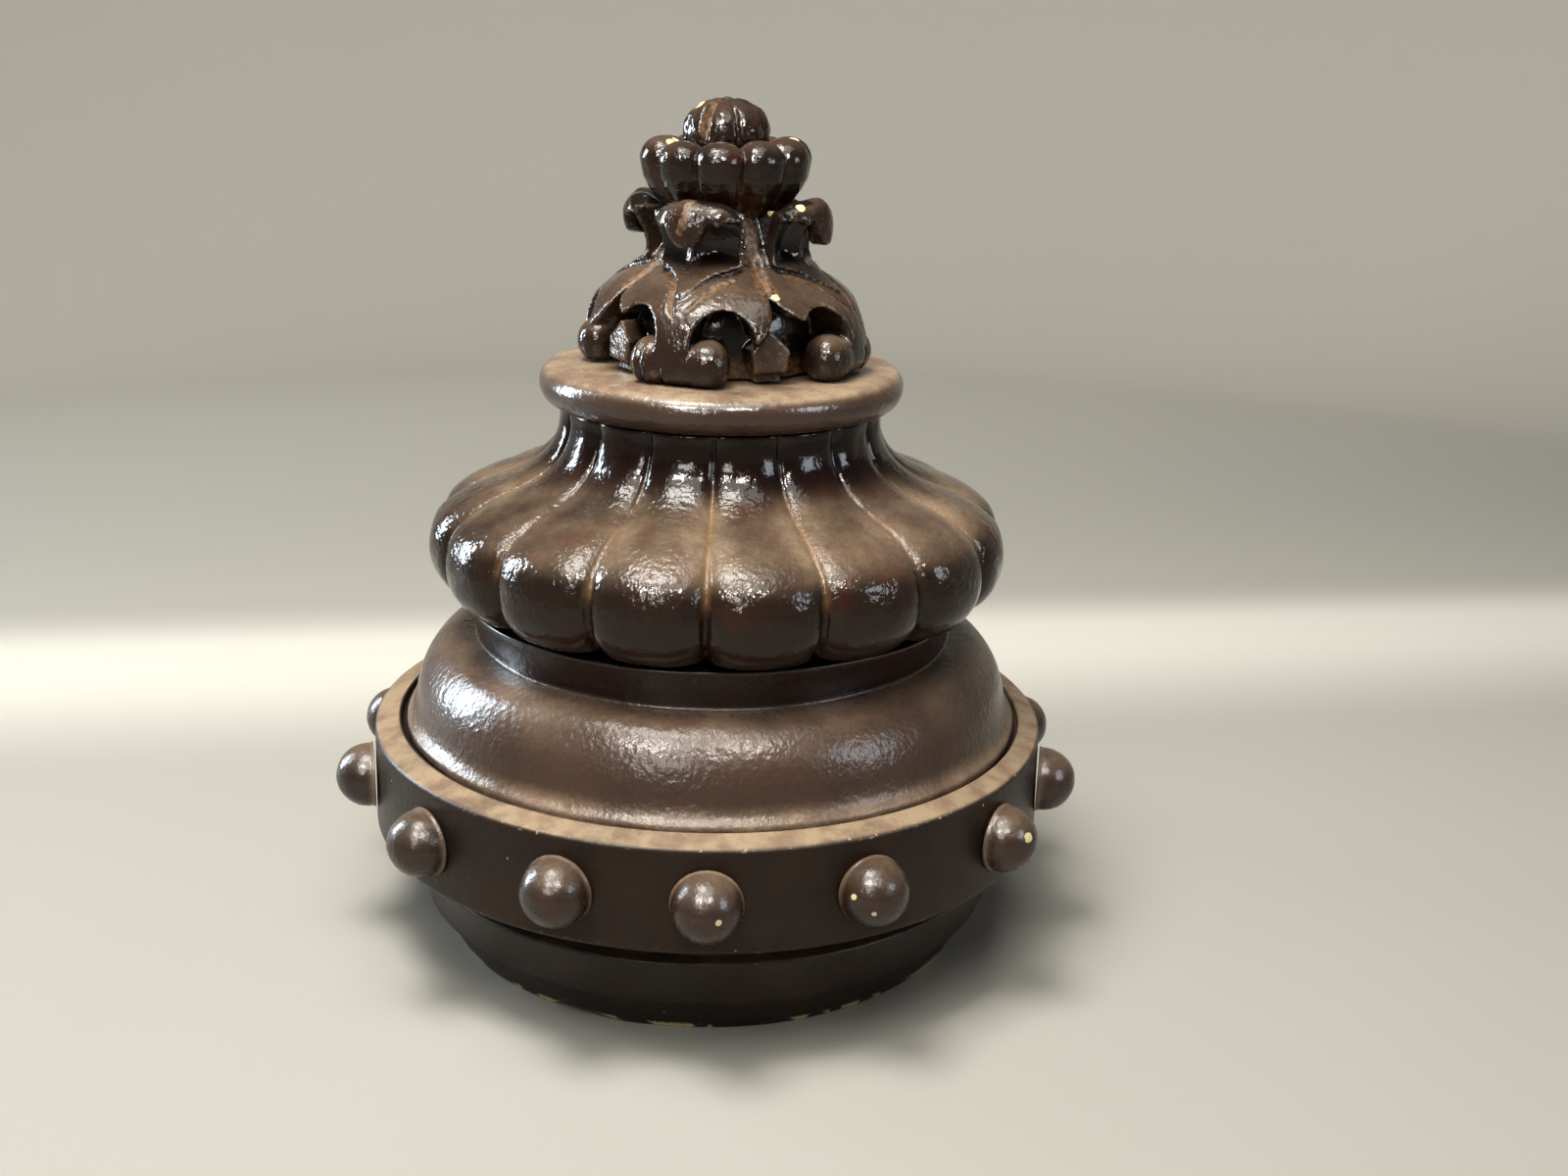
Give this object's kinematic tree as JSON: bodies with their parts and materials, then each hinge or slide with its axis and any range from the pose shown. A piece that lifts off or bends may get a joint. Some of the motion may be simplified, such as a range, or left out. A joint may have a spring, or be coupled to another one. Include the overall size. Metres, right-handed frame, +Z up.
{
  "type": "wooden finial",
  "caption": "Turned and carved dark wooden finial: stepped foot, drum ringed with balls, cushion moulding, gadrooned body, collar and a leaf crown with a bud.",
  "frame": {"origin": "centre of the foot's flat underside", "axes": "+Z up along the turning axis, front towards -Y, where the broken bite in the foot's edge is just left of the middle"},
  "size_m": [0.3752, 0.3802, 0.415],
  "materials": {
    "foot_wood": "near-black stain, worn matt varnish, pale chips on the lower edge",
    "drum_wood": "dark brown stain, dull varnish with small pale nicks and dust on the ledge",
    "cushion_wood": "brown-black varnish, satin, with tan dust on the top and the foot",
    "gadroon_wood": "red-brown to black varnish, glossy and rippled, with tan dust in the grooves",
    "collar_wood": "brown-black satin varnish with golden dust on top",
    "crown_wood": "near-black glossy varnish with amber grooves and cream wear spots",
    "ball_wood": "dark brown satin varnish with a dusty ring where each ball meets the drum"
  },
  "bodies": {
    "root": {"foot": "foot_wood", "drum": "drum_wood", "cushion_moulding": "cushion_wood", "gadrooned_body": "gadroon_wood", "collar": "collar_wood", "leaf_crown": "crown_wood", "ball_01": "ball_wood", "ball_02": "ball_wood", "ball_03": "ball_wood", "ball_04": "ball_wood", "ball_05": "ball_wood", "ball_06": "ball_wood", "ball_07": "ball_wood", "ball_08": "ball_wood", "ball_09": "ball_wood", "ball_10": "ball_wood", "ball_11": "ball_wood", "ball_12": "ball_wood", "ball_13": "ball_wood", "ball_14": "ball_wood"}
  },
  "joints": []
}
